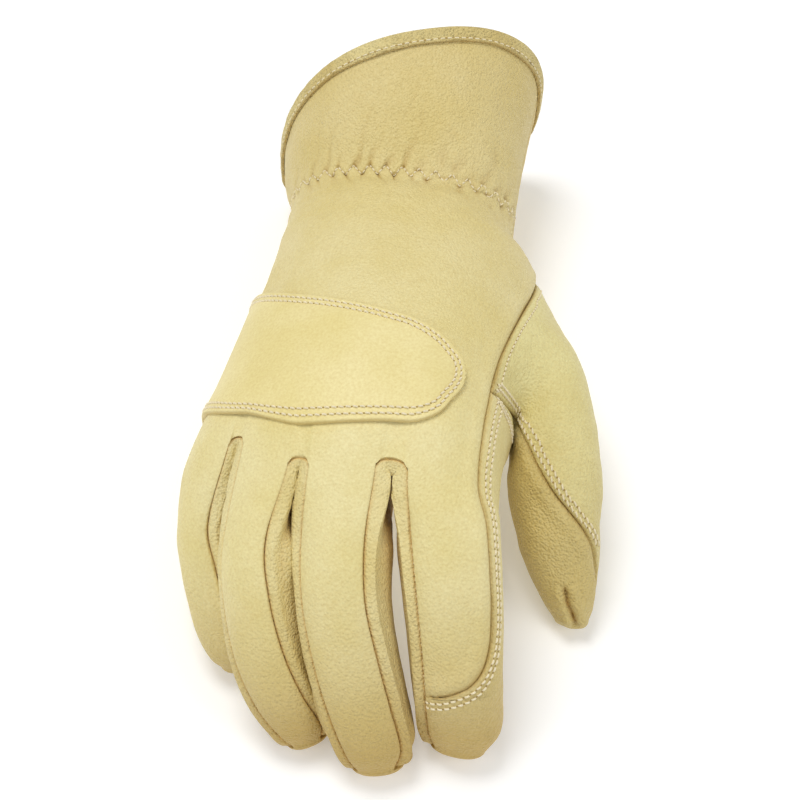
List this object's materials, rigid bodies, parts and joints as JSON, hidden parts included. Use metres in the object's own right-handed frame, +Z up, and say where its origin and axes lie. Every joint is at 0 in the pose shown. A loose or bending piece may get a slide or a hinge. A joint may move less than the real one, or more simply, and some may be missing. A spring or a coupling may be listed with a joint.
{
  "type": "leather work glove",
  "caption": "Right-hand fire-resistant leather work glove, hollow, with a stitched knuckle strap, wing thumb, gathered wrist and bound flared cuff, lying palm down.",
  "frame": {"origin": "middle of the footprint, on the surface the glove lies on", "axes": "+Z up out of the back of the hand, -Y toward the fingertips, +X toward the thumb"},
  "size_m": [0.1397, 0.2673, 0.089],
  "materials": {
    "back_leather": "smooth satin grain leather",
    "palm_leather": "satin grain leather with a fine pebble",
    "fourchette_leather": "satin grain leather with a fine pebble",
    "thumb_leather": "satin grain leather",
    "strap_leather": "smooth satin grain leather",
    "binding_leather": "matt split leather"
  },
  "bodies": {
    "root": {"back_panel": "back_leather", "palm_panel": "palm_leather", "fourchette_index_middle": "fourchette_leather", "fourchette_middle_ring": "fourchette_leather", "fourchette_ring_little": "fourchette_leather", "index_wrap": "palm_leather", "thumb_back": "thumb_leather", "thumb_front": "palm_leather", "knuckle_strap": "strap_leather", "cuff_binding": "binding_leather"}
  },
  "joints": []
}
